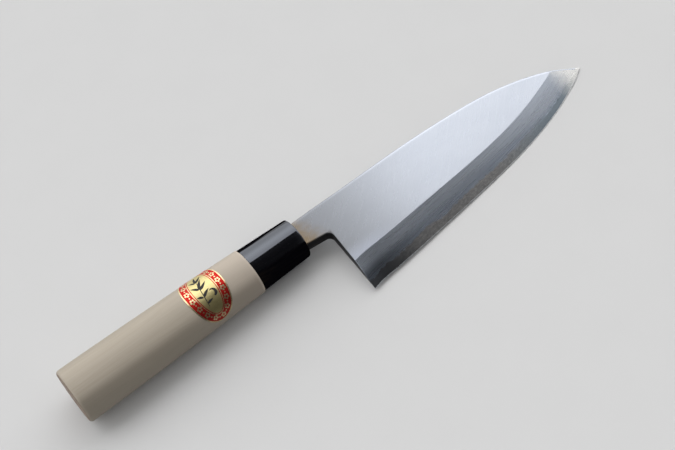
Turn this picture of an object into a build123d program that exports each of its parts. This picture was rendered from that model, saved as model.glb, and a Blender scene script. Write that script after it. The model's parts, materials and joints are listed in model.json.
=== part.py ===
from build123d import *
import os
from math import cos, pi, radians, sin

# Deba knife, the heavy single-bevel fish knife of a Japanese kitchen, with an oval wooden handle.
# Every piece is modelled with X along the handle from its butt to the tip of the blade,
# Y from the cutting edge to the spine and Z out of the ground front of the blade.
# At the end all pieces are laid down together, the way the knife lies on a board.

# Handle of pale wood, oval across, a little thicker at the butt and slightly swollen along its length.
handle_length = 130.0  # from the butt to the front of the collar
butt_height = 29.7
butt_thickness = 23.1
shoulder_height = 25.1  # where the wood meets the collar
shoulder_thickness = 20.6
handle_swell = 0.35  # how far the middle stands out of a straight taper, on each side
handle_rise = 0.5  # how far the collar's middle lies above the butt's, towards the spine
butt_round = 1.8
shoulder_round = 0.3

# Collar of black horn, a tapering oval ring over the tenon of the handle.
collar_length = 28.6
collar_step = 0.4  # the wood stands proud of the collar by this much
collar_front_height = 21.9
collar_front_thickness = 19.5
collar_wall = 1.8
collar_front_round = 0.9
collar_rear_round = 0.25
glue_gap = 0.1  # between the tenon and the collar
tenon_recess = 0.3  # the tenon stops this far behind the collar's front

# Neck and tang, in one piece with the soft iron of the blade.
neck_length = 14.0  # from the collar to the straight back end of the blade
neck_seat = 4.0  # how far the full neck goes into the handle
neck_rise = 6.8  # top of the neck at the collar, above the handle's axis
neck_drop = 6.2  # underside of the neck at the collar, below the axis
neck_flare = 1.9  # the underside falls by this much towards the blade
notch_round = 3.0  # inner corner between the neck and the back end of the blade
tang_length = 98.0  # from the collar's front to the tang's end
tang_root_height = 10.6
tang_root_thickness = 6.0
tang_end_height = 6.0
tang_end_thickness = 3.4
tang_clearance = 0.25
tang_hole_spare = 3.0  # the hole is this much deeper than the tang
mouth_gap = 0.4  # room round the neck in the mouth of the handle, filled by the seal
seal_recess = 0.2  # the seal stops this far behind the tenon's front

# Blade. The back is flat, the front is a flat that thins to the tip and to the ridge,
# and below the ridge a bevel runs down to the edge.
blade_length = 160.7  # from the neck to the tip
blade_height = 51.4  # from the spine to the heel of the edge
spine_rise = 7.4  # the spine above the handle's axis at the neck
heel_setback = 1.4  # the heel's corner lies this far back from the top of the blade's back end
back_drop = 3.8  # the flat back lies this far behind the handle's axis
spine_thickness = 7.4  # at the neck
ridge_thickness = 5.05  # at the ridge, beside the heel
tip_thickness = 2.1  # of the flat, carried on to the tip
edge_land = 0.15  # the edge is this thick
bevel_width = 15.2  # from the edge to the ridge

# Hard steel welded under the soft iron, thinner towards the tip, and ground hollow on the back.
steel_thickness = 1.9
steel_tip_thickness = 0.7
hollow_depth = 0.45
hollow_margin = 2.6  # flat rim left round the hollow

# Foil label, an oval laid round the front of the handle.
label_middle = 76.3  # from the butt
label_width = 20.6
label_wrap = 84.0  # degrees that each half reaches round the oval
label_turn = 4.0  # degrees by which its middle is turned towards the spine
label_thickness = 0.15

# How the knife lies on a board: on the collar's rim and on the belly of the edge.
lying_roll = 5.23  # degrees
lying_pitch = 1.44

overrun = 6.0  # how far cutting shapes run past what they cut

# The blade, read from the neck to the tip. Each row holds a share of the blade's length, then
# shares of its height down to the spine and down to the edge, counted from the spine at the neck,
# then a share of the bevel's width and a share of the hollow's depth.
blade_shares = [
    (0.025, 0.000, 0.977, 1.06, 0.30),
    (0.075, -0.001, 0.963, 1.04, 0.85),
    (0.262, -0.012, 0.907, 1.02, 1.00),
    (0.449, -0.010, 0.844, 0.99, 1.00),
    (0.580, 0.008, 0.793, 0.965, 0.95),
    (0.692, 0.041, 0.732, 0.96, 0.85),
    (0.779, 0.092, 0.666, 0.97, 0.70),
    (0.853, 0.157, 0.593, 0.975, 0.50),
    (0.915, 0.232, 0.516, 0.965, 0.25),
    (0.966, 0.312, 0.440, 0.94, 0.00),
]
tip_share = 0.370  # the tip, as a share of the height
heel_bevel_share = 1.08  # the bevel's width at the blade's back end
tip_bevel_share = 0.90  # and past the tip
tip_run_share = 0.025  # how far the bevel's cut is carried past the tip, as a share of the length

# Places that follow from the sizes.
collar_start = handle_length - collar_length
tenon_end = handle_length - tenon_recess
neck_end = handle_length - neck_seat
neck_start = handle_length + neck_length
heel_start = neck_start - heel_setback
tip_x = neck_start + blade_length
tip_y = spine_rise - tip_share * blade_height
heel_y = spine_rise - blade_height
back_z = -back_drop
neck_middle = (neck_rise - neck_drop) / 2


blade_places = [neck_start + row[0] * blade_length for row in blade_shares]
spine_points = [(x, spine_rise - row[1] * blade_height) for x, row in zip(blade_places, blade_shares)]
edge_points = [(x, spine_rise - row[2] * blade_height) for x, row in zip(blade_places, blade_shares)]

# The front flat is the plane through three of its points. Its height above the back is needed
# again below, where the bevel is set so that it meets the flat in the ridge.
ridge_y = heel_y + bevel_width
spine_point = Vector(neck_start, spine_rise, back_z + spine_thickness)
ridge_point = Vector(neck_start, ridge_y, back_z + ridge_thickness)
tip_point = Vector(tip_x, tip_y, back_z + tip_thickness)
front_normal = (ridge_point - spine_point).cross(tip_point - spine_point).normalized()
front_plane = Plane(origin=spine_point, z_dir=front_normal)


def front_height(x, y):
    """Height of the front flat above the back, at a place on the blade."""
    fall_x = (x - spine_point.X) * front_normal.X / front_normal.Z
    fall_y = (y - spine_point.Y) * front_normal.Y / front_normal.Z
    return spine_thickness - fall_x - fall_y


# The bevel is cut by a wedge that is set at each row of the edge: its lower face passes through
# the edge and through the ridge, and it reaches past the blade on both sides and at both ends.
wedge_rows = [(heel_start - heel_setback, heel_y, heel_bevel_share)]
wedge_rows += [(x, y, row[3]) for (x, y), row in zip(edge_points, blade_shares)]
tip_run = tip_run_share * blade_length
wedge_rows += [(tip_x + tip_run, tip_y + tip_run, tip_bevel_share)]
land_z = back_z + edge_land
reach = blade_height / 2

with BuildPart() as bevel_wedge:
    for x, y, share in wedge_rows:
        width = share * bevel_width
        slope = (front_height(x, y + width) - edge_land) / width
        with BuildSketch(Plane.YZ.offset(x)):
            with BuildLine():
                Polyline(
                    (y - overrun, land_z - slope * overrun),
                    (y + reach, land_z + slope * reach),
                    (y + reach, land_z + slope * reach + overrun),
                    (y - overrun, land_z + slope * reach + overrun),
                    close=True,
                )
            make_face()
    loft()

# The whole forging of blade and neck, before it is told apart into its two steels.
with BuildPart() as forging:
    with BuildSketch(Plane.XY.offset(back_z)):
        with BuildLine():
            Line((neck_end, neck_rise), (neck_start, spine_rise))
            Spline([(neck_start, spine_rise)] + spine_points + [(tip_x, tip_y)])
            Spline([(tip_x, tip_y)] + list(reversed(edge_points)) + [(heel_start, heel_y)])
            FilletPolyline(
                (heel_start, heel_y),
                (neck_start, -neck_drop - neck_flare),
                (neck_end, -neck_drop),
                radius=notch_round,
            )
            Line((neck_end, -neck_drop), (neck_end, neck_rise))
        make_face()
    extrude(amount=spine_thickness + overrun)
    split(bisect_by=front_plane, keep=Keep.BOTTOM)
    add(bevel_wedge.part, mode=Mode.SUBTRACT)

# Hard steel: the lower layer of the forging. It ends in the neck, and its back is ground hollow.
weld_plane = Plane(
    origin=(neck_start, 0, back_z + steel_thickness),
    z_dir=(steel_thickness - steel_tip_thickness, 0, blade_length),
)
with BuildPart() as steel_layer:
    add(forging.part)
    split(bisect_by=weld_plane, keep=Keep.BOTTOM)
    split(bisect_by=Plane.YZ.offset(neck_start - notch_round), keep=Keep.TOP)

# The hollow keeps a flat rim of even width inside the spine and the edge, and fades at its ends.
with BuildPart() as hollow:
    for (x, spine_y), (_, edge_y), row in zip(spine_points, edge_points, blade_shares):
        deep = row[4] * hollow_depth
        if deep > 0:
            high_y = spine_y - hollow_margin
            low_y = edge_y + hollow_margin
            with BuildSketch(Plane.YZ.offset(x)):
                with BuildLine():
                    Polyline(
                        (high_y, back_z),
                        (high_y, back_z - hollow_depth),
                        (low_y, back_z - hollow_depth),
                        (low_y, back_z),
                    )
                    ThreePointArc((low_y, back_z), ((low_y + high_y) / 2, back_z + deep), (high_y, back_z))
                make_face()
    loft()

with BuildPart() as hagane:
    add(steel_layer.part)
    add(hollow.part, mode=Mode.SUBTRACT)

# Soft iron: all the rest of the forging, and the tang behind the neck.
with BuildPart() as jigane:
    add(forging.part)
    add(steel_layer.part, mode=Mode.SUBTRACT)
    with BuildSketch(Plane.YZ.offset(neck_end)):
        with Locations((neck_middle, 0)):
            Rectangle(tang_root_height, tang_root_thickness)
    with BuildSketch(Plane.YZ.offset(handle_length - tang_length)):
        with Locations((neck_middle, 0)):
            Rectangle(tang_end_height, tang_end_thickness)
    loft()

# Handle: a long body through three ovals. Each row holds the place along the handle, how far
# the oval's middle lies towards the spine, and its half height and half thickness.
handle_ovals = [
    (0, 0, butt_height / 2, butt_thickness / 2),
    (
        collar_start / 2,
        handle_rise / 2,
        (butt_height + shoulder_height) / 4 + handle_swell,
        (butt_thickness + shoulder_thickness) / 4 + handle_swell,
    ),
    (collar_start, handle_rise, shoulder_height / 2, shoulder_thickness / 2),
]
with BuildPart() as handle_core:
    for x, rise, half_height, half_thickness in handle_ovals:
        with BuildSketch(Plane.YZ.offset(x)):
            with Locations((rise, 0)):
                Ellipse(half_height, half_thickness)
    loft()

bore_half_height = collar_front_height / 2 - collar_wall
bore_half_thickness = collar_front_thickness / 2 - collar_wall
mouth_height = neck_rise + neck_drop + 2 * mouth_gap
mouth_thickness = spine_thickness + 2 * mouth_gap
hole_end = handle_length - tang_length - tang_hole_spare
with BuildPart() as handle:
    add(handle_core.part)
    fillet(handle.faces().sort_by(Axis.X)[0].edges(), radius=butt_round)
    fillet(handle.faces().sort_by(Axis.X)[-1].edges(), radius=shoulder_round)
    with BuildSketch(Plane.YZ.offset(collar_start)):
        with Locations((handle_rise, 0)):
            Ellipse(bore_half_height - glue_gap, bore_half_thickness - glue_gap)
    extrude(amount=tenon_end - collar_start)
    with BuildSketch(Plane.YZ.offset(neck_end)):
        with Locations((neck_middle, 0)):
            Rectangle(tang_root_height + 2 * tang_clearance, tang_root_thickness + 2 * tang_clearance)
    with BuildSketch(Plane.YZ.offset(hole_end)):
        with Locations((neck_middle, 0)):
            Rectangle(tang_end_height + 2 * tang_clearance, tang_end_thickness + 2 * tang_clearance)
    loft(mode=Mode.SUBTRACT)
    with BuildSketch(Plane.YZ.offset(neck_end)):
        with Locations((neck_middle, 0)):
            Rectangle(mouth_height, mouth_thickness)
    extrude(amount=neck_seat + overrun, mode=Mode.SUBTRACT)

# Collar: a tapering ring, a step lower than the wood behind it, with rounded rims.
with BuildPart() as ferrule:
    with BuildSketch(Plane.YZ.offset(collar_start)):
        with Locations((handle_rise, 0)):
            Ellipse(shoulder_height / 2 - collar_step, shoulder_thickness / 2 - collar_step)
    with BuildSketch(Plane.YZ.offset(handle_length)):
        with Locations((handle_rise, 0)):
            Ellipse(collar_front_height / 2, collar_front_thickness / 2)
    loft()
    fillet(ferrule.faces().sort_by(Axis.X)[0].edges(), radius=collar_rear_round)
    fillet(ferrule.faces().sort_by(Axis.X)[-1].edges(), radius=collar_front_round)
    with BuildSketch(Plane.YZ.offset(collar_start)):
        with Locations((handle_rise, 0)):
            Ellipse(bore_half_height, bore_half_thickness)
    extrude(amount=collar_length, mode=Mode.SUBTRACT)

# Seal: fills the mouth of the hole round the neck.
with BuildPart() as seal:
    with BuildSketch(Plane.YZ.offset(neck_end)):
        with Locations((neck_middle, 0)):
            Rectangle(mouth_height, mouth_thickness)
    extrude(amount=neck_seat - tenon_recess - seal_recess)
    add(jigane.part, mode=Mode.SUBTRACT)

# Label: a skin on the wood, cut to the outline that an oval has when it is laid round the handle.
label_steps = 24
label_place = label_middle / collar_start
label_rise = handle_rise * label_place
label_reach = (butt_height + (shoulder_height - butt_height) * label_place) / 2
label_outline = []
for step in range(label_steps):
    turn = 2 * pi * step / label_steps
    lap = radians(label_turn + label_wrap * cos(turn))
    label_outline.append((label_middle + label_width / 2 * sin(turn), label_rise + label_reach * sin(lap)))
with BuildPart() as label:
    for x, rise, half_height, half_thickness in handle_ovals:
        with BuildSketch(Plane.YZ.offset(x)):
            with Locations((rise, 0)):
                Ellipse(half_height + label_thickness, half_thickness + label_thickness)
    loft()
    with BuildSketch(Plane.XY):
        with BuildLine():
            Spline(label_outline, periodic=True)
        make_face()
    extrude(amount=butt_thickness, mode=Mode.INTERSECT)
    add(handle_core.part, mode=Mode.SUBTRACT)

pieces = {
    "jigane": jigane, "hagane": hagane, "handle": handle,
    "ferrule": ferrule, "seal": seal, "label": label,
}

# Lay the knife down as it lies on a board. It turns about its length until the edge comes down,
# then dips its tip, and moves so that the middle of its box's underside is the origin.
dip = Location((0, 0, 0), (0, lying_pitch, 0)) * Location((0, 0, 0), (lying_roll, 0, 0))
for piece in pieces.values():
    piece.part.move(dip)
boxes = [piece.part.bounding_box() for piece in pieces.values()]
low_x = min(box.min.X for box in boxes)
high_x = max(box.max.X for box in boxes)
low_y = min(box.min.Y for box in boxes)
high_y = max(box.max.Y for box in boxes)
low_z = min(box.min.Z for box in boxes)
to_origin = Location((-(low_x + high_x) / 2, -(low_y + high_y) / 2, -low_z))

os.makedirs("parts", exist_ok=True)
for name, piece in pieces.items():
    piece.part.move(to_origin)
    piece.part.label = name
    export_step(piece.part, f"parts/{name}.step")
    print(name, "solids", len(piece.part.solids()), "volume", round(piece.part.volume, 2))

# Places on the finished knife that other things meet: the rim of the flat back near the spine,
# the middle of the grip, and the tip, with the direction in which each faces.
laid = to_origin * dip
rim_place = Vector(blade_places[2], spine_points[2][1] - hollow_margin / 2, back_z)
grip_place = Vector(collar_start / 2, handle_rise / 2, 0)
tip_place = Vector(tip_x, tip_y, back_z)
for name, place, facing in (
    ("back rim", rim_place, Vector(0, 0, -1)),
    ("grip", grip_place, Vector(1, 0, 0)),
    ("tip", tip_place, Vector(1, 0, 0)),
):
    here = (laid * Location(place)).position
    there = (laid * Location(place + facing)).position
    print(name, "at", here, "facing", there - here)
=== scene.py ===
# %% [markdown]
# # A deba knife
# A deba is the heavy fish knife of a Japanese kitchen. It is ground on one side only: the front
# has a flat and a wide bevel, and the back is slightly hollow. The blade sits in an oval handle of
# pale magnolia wood with a collar of black horn, and a foil label is stuck round the wood.
#
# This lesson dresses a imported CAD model. The CAD gives the places and sizes, and Blender adds the
# finer shapes and the finishes. Everything is in metres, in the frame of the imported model.

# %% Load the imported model
import bmesh
import bpy
import json
import numpy as np
from math import atan, atan2, cos, degrees, exp, hypot, pi, radians, sin, sqrt, tan
from mathutils import Matrix, Vector


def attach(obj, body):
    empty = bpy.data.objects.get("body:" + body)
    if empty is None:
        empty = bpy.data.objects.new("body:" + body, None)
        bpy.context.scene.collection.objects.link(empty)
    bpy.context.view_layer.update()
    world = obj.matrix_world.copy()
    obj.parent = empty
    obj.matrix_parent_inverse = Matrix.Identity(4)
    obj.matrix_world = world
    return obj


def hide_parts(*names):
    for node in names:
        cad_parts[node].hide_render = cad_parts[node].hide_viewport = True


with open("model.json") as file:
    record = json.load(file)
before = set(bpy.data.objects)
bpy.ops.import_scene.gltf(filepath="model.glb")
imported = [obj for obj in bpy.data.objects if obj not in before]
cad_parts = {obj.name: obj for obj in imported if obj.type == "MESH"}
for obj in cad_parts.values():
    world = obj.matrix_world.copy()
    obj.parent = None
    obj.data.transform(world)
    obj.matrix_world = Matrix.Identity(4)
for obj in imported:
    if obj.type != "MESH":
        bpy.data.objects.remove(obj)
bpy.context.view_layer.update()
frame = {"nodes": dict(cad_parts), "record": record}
print("pieces of the CAD model:", sorted(frame["nodes"]))

# %% [markdown]
# ## The knife's own directions
# The knife lies on a board, tilted a little, because it rests on the collar and on the belly of
# its edge. It is easier to think along the knife itself: x from the handle to the tip, y from the
# edge to the spine, z out of the ground front. The record's mounts give these directions, so
# `laid` turns a place on the knife, in millimetres, into a place in the frame, in metres.

# %% From the knife's own directions to the frame
butt, grip_from_butt, grip_rise = -1.1, 50.7, 0.25
mounts = {mount["name"]: mount for mount in frame["record"]["mounts"]}
towards_tip = Vector(mounts["grip"]["axis"]).normalized()
out_of_front = -Vector(mounts["back_flat"]["axis"])
out_of_front = (out_of_front - out_of_front.dot(towards_tip) * towards_tip).normalized()
towards_spine = out_of_front.cross(towards_tip)
knife_turn = Matrix((towards_tip, towards_spine, out_of_front)).transposed()
grip_on_knife = Vector((butt + grip_from_butt, grip_rise, 0)) / 1000
zero_place = Vector(mounts["grip"]["pos_m"]) - knife_turn @ grip_on_knife
laid = Matrix.Translation(zero_place) @ knife_turn.to_4x4() @ Matrix.Scale(0.001, 4)


def to_frame(places):
    """Places on the knife in millimetres, turned into places in the frame in metres."""
    places = np.asarray(places, float).reshape(-1, 3)
    return places @ np.array(laid.to_3x3()).T + np.array(laid.translation)


print("butt of the handle at", [round(c, 5) for c in laid @ Vector((butt, 0, 0))])

# %% [markdown]
# ## The camera
# The photograph looks down on the knife from the edge side, with the handle low on the left and
# the tip high on the right. The camera's place and turn were found by matching points of the
# knife, such as the tip, the heel and the corners of the handle, to where the photograph shows
# them. The focal length is given in pixels of the frame.

# %% Camera at the photograph's viewing angle
swing, lift, roll = radians(15.72), radians(26.54), radians(35.40)
camera_on_knife = Vector((-27.1, -284.8, 557.3))
focal_pixels, frame_pixels, sensor = 1331.79, 675, 36

towards_camera = Vector((-sin(swing), -cos(swing) * sin(lift), cos(swing) * cos(lift)))
level_right = Vector((cos(swing), -sin(swing) * sin(lift), sin(swing) * cos(lift)))
level_down = Vector((0, -cos(lift), -sin(lift)))
right = cos(roll) * level_right + sin(roll) * level_down
down = -sin(roll) * level_right + cos(roll) * level_down
camera_turn = knife_turn @ Matrix((right, -down, towards_camera)).transposed()
camera_place = laid @ camera_on_knife

camera_data = bpy.data.cameras.new("camera")
camera_data.sensor_fit = "HORIZONTAL"
camera_data.sensor_width = sensor
camera_data.lens = sensor * focal_pixels / frame_pixels
camera_data.clip_start = 0.01
camera = bpy.data.objects.new("camera", camera_data)
camera.matrix_world = Matrix.Translation(camera_place) @ camera_turn.to_4x4()
bpy.context.scene.collection.objects.link(camera)
bpy.context.scene.camera = camera
print("camera at", [round(c, 3) for c in camera_place], "lens", round(camera_data.lens, 1))

# %% [markdown]
# ## Helpers for nodes
# Finishes, and some shapes, are made of nodes. A node's output is wrapped in a `Value`, so that a
# sum can be written as a sum: each plus or times adds a Math node to the tree of its first value.

# %% Add nodes and do sums with their outputs
def plug(socket, value):
    """Links an output to a socket, or sets the socket's value."""
    value = value.socket if isinstance(value, Value) else value
    if isinstance(value, bpy.types.NodeSocket):
        socket.id_data.links.new(value, socket)
    else:
        socket.default_value = value


def add_node(tree, kind, settings=None, **sockets):
    """A node with its settings and what goes into its sockets."""
    node = tree.nodes.new(kind)
    for key, value in (settings or {}).items():
        setattr(node, key, value)
    for key, value in sockets.items():
        plug(node.inputs[key.replace("_", " ")], value)
    return node


def get(tree, kind, output, settings=None, **sockets):
    """One output of a new node, as a value."""
    return Value(add_node(tree, kind, settings, **sockets).outputs[output])


class Value:
    """An output of a node, with arithmetic."""

    def __init__(self, socket):
        self.socket, self.tree = socket, socket.id_data

    def math(self, operation, other=0.0, swapped=False):
        """A Math node with this value in its first socket, or in its second if swapped."""
        node = add_node(self.tree, "ShaderNodeMath", {"operation": operation})
        plug(node.inputs[int(swapped)], self)
        plug(node.inputs[1 - int(swapped)], other)
        return Value(node.outputs[0])

    def __add__(self, other):
        return self.math("ADD", other)

    def __sub__(self, other):
        return self.math("SUBTRACT", other)

    def __rsub__(self, other):
        return self.math("SUBTRACT", other, swapped=True)

    def __mul__(self, other):
        return self.math("MULTIPLY", other)

    def __truediv__(self, other):
        return self.math("DIVIDE", other)

    def __abs__(self):
        return self.math("ABSOLUTE")

    def fade(self, start, end, low=0.0, high=1.0, kind="SMOOTHSTEP"):
        """Turns the run of this value from start to end into a run from low to high."""
        node = add_node(self.tree, "ShaderNodeMapRange", {"interpolation_type": kind}, Value=self,
                        From_Min=start, From_Max=end, To_Min=low, To_Max=high)
        return Value(node.outputs["Result"])


print("a value can be added, taken away, multiplied, divided and faded")

# %% [markdown]
# ## Helpers for finishes
# Each finish starts from a Principled BSDF. Its pattern reads Object coordinates through a Mapping
# node, which scales first, then turns, then moves. Scaled by 1000 and turned back by the knife's
# own turn, they become millimetres along, across and out of the knife, so that grain runs along
# the handle and scratches run across the blade.

# %% Patterns and colours on the knife
def start_finish(name):
    """A new material, its node tree and its Principled BSDF."""
    material = bpy.data.materials.new(name)
    material.use_nodes = True
    return material, material.node_tree, material.node_tree.nodes["Principled BSDF"]


def knife_millimetres(tree):
    """Object coordinates as millimetres on the knife: along x, across y, out z."""
    back = knife_turn.transposed()
    return get(tree, "ShaderNodeMapping", "Vector", Scale=(1000, 1000, 1000),
               Rotation=back.to_euler(), Location=-1000 * (back @ zero_place),
               Vector=get(tree, "ShaderNodeTexCoord", "Object"))


def streaks(places, sizes, detail=3.0, turn=0.0, distortion=0.0):
    """Noise whose patches have their own size in each direction, in mm, turned about z."""
    stretched = get(places.tree, "ShaderNodeMapping", "Vector", {"vector_type": "TEXTURE"},
                    Vector=places, Scale=sizes, Rotation=(0, 0, turn))
    return get(places.tree, "ShaderNodeTexNoise", "Fac", Vector=stretched, Scale=1.0,
               Detail=detail, Distortion=distortion)


def split_places(places):
    """The separate x, y and z of a place."""
    return [Value(part) for part in
            add_node(places.tree, "ShaderNodeSeparateXYZ", Vector=places).outputs]


def paint(base, *layers):
    """A colour with others laid over it. Each layer is a share and a colour."""
    for share, colour in layers:
        node = add_node(share.tree, "ShaderNodeMix", {"data_type": "RGBA"})
        for number, value in ((0, share), (6, base), (7, colour)):
            plug(node.inputs[number], (*value, 1) if isinstance(value, tuple) else value)
        base = Value(node.outputs[2])
    return base


def coat(shader, colour, roughness, grain, strength, depth=0.00001, **levels):
    """Colour, roughness, a bump for grain too fine to model, and levels that are even all over."""
    bump = get(grain.tree, "ShaderNodeBump", "Normal", Height=grain, Strength=strength,
               Distance=depth)
    for key, value in (("Base Color", colour), ("Roughness", roughness), ("Normal", bump)):
        plug(shader.inputs[key], value)
    for key, level in levels.items():
        shader.inputs[key.replace("_", " ")].default_value = level


print("one knife millimetre is", round(1000 * laid.to_scale().x, 3), "mm in the frame")

# %% [markdown]
# ## Satin iron
# The front flat of the blade, from the neck to the ridge, is soft iron ground across the blade and
# then polished to a satin. Fine scratches run from the spine to the edge. Where the hot tang was
# burnt into the handle, the neck keeps a warm straw tint that fades in about a centimetre. A plain
# metal would look like chrome, so stretched noise varies the roughness, the colour and the bump.
# Painted shade darkens the flat towards the neck and just above the ridge at the heel.

# %% Finish of the front flat
satin_iron, tree, shader = start_finish("satin iron")
places = knife_millimetres(tree)
along, across, _ = split_places(places)
fine_scratches = streaks(places, (14, 0.35, 14), 4, radians(38))
wide_scratches = streaks(places, (22, 1.3, 22), 3, radians(44))
clouds = streaks(places, (24, 12, 20), 3)
ragged = (streaks(places, (2.6, 2.2, 4), 4) - 0.5) * 9
slant = across.fade(-8, 8, -8, 8, "LINEAR") * 0.42
from_neck = along - across * 0.12
from_collar = along + slant + ragged
# painted shade on the flat just above the ridge at the heel
painted_shade_above_heel = across.fade(-18.5, -27, 0.0, 0.9) * along.fade(152, 176, 1.0, 0.0)
iron = paint(
    (0.465, 0.495, 0.555),
    (fine_scratches.fade(0.3, 0.7), (0.510, 0.540, 0.600)),
    (wide_scratches.fade(0.50, 0.80, 0.0, 0.5), (0.545, 0.575, 0.630)),
    (clouds.fade(0.35, 0.65, 0.0, 0.22), (0.420, 0.450, 0.510)),
    # painted shade: the flat darkens towards the neck
    (from_neck.fade(128, 212, 1.0, 0.0), (0.215, 0.224, 0.243)),  # darker towards the neck
    (from_collar.fade(126, 141.5, 0.9, 0.0), (0.200, 0.148, 0.088)),  # straw
    # painted shade above the heel's ridge
    (painted_shade_above_heel, (0.365, 0.390, 0.450)))
coat(shader, iron, fine_scratches.fade(0.25, 0.75, 0.26, 0.34), fine_scratches, 0.15, Metallic=1)
print(satin_iron.name, "has", len(tree.nodes), "nodes")

# %% [markdown]
# ## The stoned bevel
# The bevel is worked on water stones. Its upper part is the same soft iron, which the stones leave
# hazy and grey. Along the edge the hard steel shows as a strip with a wavy border, a little
# browner and mottled. Both steels are forged together, so one finish serves both pieces and draws
# the wavy border itself, from an attribute that tells how far a place is from the edge.

# %% Patterns of the bevel
stoned_bevel, tree, shader = start_finish("stoned bevel")
along, _, _ = split_places(knife_millimetres(tree))
from_edge = get(tree, "ShaderNodeAttribute", "Fac", {"attribute_name": "from_edge"})
beside_edge = get(tree, "ShaderNodeCombineXYZ", "Vector", X=along, Y=from_edge)
long_streaks = streaks(beside_edge, (26, 0.9, 1), 5, 0.02)
fine_streaks = streaks(beside_edge, (9, 0.25, 1), 4, -0.02)
slow_wave = streaks(beside_edge, (17, 60, 1), 2)
quick_wave = streaks(beside_edge, (3.0, 2.4, 1), 5)
mottle = streaks(beside_edge, (1.5, 0.55, 1), 6, 0.0, 0.8)
flames = streaks(beside_edge, (11, 0.7, 1), 4, 0.05).fade(0.45, 0.70)
wave = (slow_wave - 0.5) * 4.5 + (quick_wave - 0.5) * 3.0
steel_border = from_edge + wave + along.fade(250, 288)
in_steel = steel_border.fade(5.0, 3.9)
near_border = abs(steel_border - along.fade(245, 280, 6.0, 4.6)).fade(1.7, 0.0)
at_tip = along + (quick_wave - 0.5) * 6
print("patterns of the bevel:", len(tree.nodes), "nodes")

# %% [markdown]
# The colours are laid over one another as a painter would: the haze of the iron, the mottled steel
# inside its border, the cloudy line along that border, a painted shade at the heel and a painted
# highlight at the tip.

# %% Finish of the bevel
haze = paint(
    (0.410, 0.447, 0.513),
    (long_streaks.fade(0.3, 0.7), (0.442, 0.480, 0.546)),
    (fine_streaks.fade(0.45, 0.75, 0.0, 0.18), (0.50, 0.535, 0.59)),
    (from_edge.fade(12.2, 6.2, 0.0, 0.51) * along.fade(225, 280, 1.0, 0.1), (0.26, 0.30, 0.37)))
steel = paint(
    (0.270, 0.270, 0.278),
    (mottle.fade(0.35, 0.65), (0.480, 0.472, 0.465)),
    (along.fade(225, 272, 0.0, 0.9), (0.285, 0.345, 0.400)),
    # painted shade: the steel darkens at the heel
    (along.fade(144, 176, 0.55, 0.0), (0.09, 0.09, 0.095)))
# painted shade low on the bevel at the heel
heel_shade = along.fade(144, 188, 0.72, 0.0) * from_edge.fade(11.0, 6.3)
bevel_colour = paint(
    haze,
    (in_steel, steel),
    (near_border * along.fade(240, 285, 0.30, 0.42), (0.25, 0.295, 0.37)),
    (near_border * flames * 0.5, (0.50, 0.55, 0.63)),
    (heel_shade, (0.055, 0.062, 0.074)),
    # painted highlight: a near-white wash at the tip
    (at_tip.fade(283, 299, 0.0, 0.95), (1.0, 0.995, 0.97)))
coat(shader, bevel_colour, long_streaks.fade(0.3, 0.7, 0.265, 0.295) - in_steel * 0.03,
     fine_streaks + mottle, 0.2, Metallic=1)
print(stoned_bevel.name, "has", len(tree.nodes), "nodes")

# %% [markdown]
# ## The other ground faces
# The last third of a millimetre at the edge is honed bright. The spine is drawn along a belt, so
# its lines run lengthwise. The choil and the underside of the neck, which lie in shade, are given
# a near-black finish as painted shade. The hollow of the back is ground on a round wheel and keeps
# faint arcs, and the flat rim round it is stoned until it shines.

# %% Finishes of the edge, the spine and the back
def metal_finish(name, dark, light, sizes, roughness, turn=0.0):
    """A bare metal with streaks between two tones."""
    material, tree, shader = start_finish(name)
    places = knife_millimetres(tree)
    lines = streaks(places, sizes, 4, turn)
    spots = streaks(places, (5, 4, 3), 4)
    colour = paint(dark, (lines.fade(0.3, 0.7), light), (spots.fade(0.5, 0.8, 0.0, 0.3), dark))
    coat(shader, colour, lines.fade(0.3, 0.7, *roughness), lines, 0.2, Metallic=1)
    print(name, "has", len(tree.nodes), "nodes")
    return material


# painted shade: the choil and the neck's underside are near black
painted_shade_sides = metal_finish(
    "painted shade sides", (0.004, 0.004, 0.005), (0.014, 0.0145, 0.0165), (8, 0.5, 0.5), (0.35, 0.5))
honed_edge = metal_finish(
    "honed edge", (0.66, 0.68, 0.70), (0.80, 0.81, 0.83), (4, 0.3, 0.3), (0.24, 0.34))
belt_ground = metal_finish(
    "belt-ground sides", (0.17, 0.18, 0.20), (0.27, 0.285, 0.315), (20, 0.25, 0.25), (0.30, 0.42))
hollow_ground = metal_finish(
    "hollow-ground back", (0.58, 0.61, 0.66), (0.72, 0.75, 0.80), (0.4, 15, 15), (0.26, 0.38), 0.2)
stoned_rim = metal_finish(
    "stoned rim", (0.72, 0.74, 0.77), (0.85, 0.87, 0.90), (10, 0.3, 0.3), (0.14, 0.22))

# %% [markdown]
# ## The lines of the blade
# The outline of the blade is a spine line and an edge line that meet in the tip. They are smooth
# curves through a few read points. The bevel's width along the blade is a third such line. Each
# row of the table holds a share of the blade's length, then shares of its height down to the spine
# and down to the edge, then a share of the bevel's width and a share of the hollow's depth.

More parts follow.
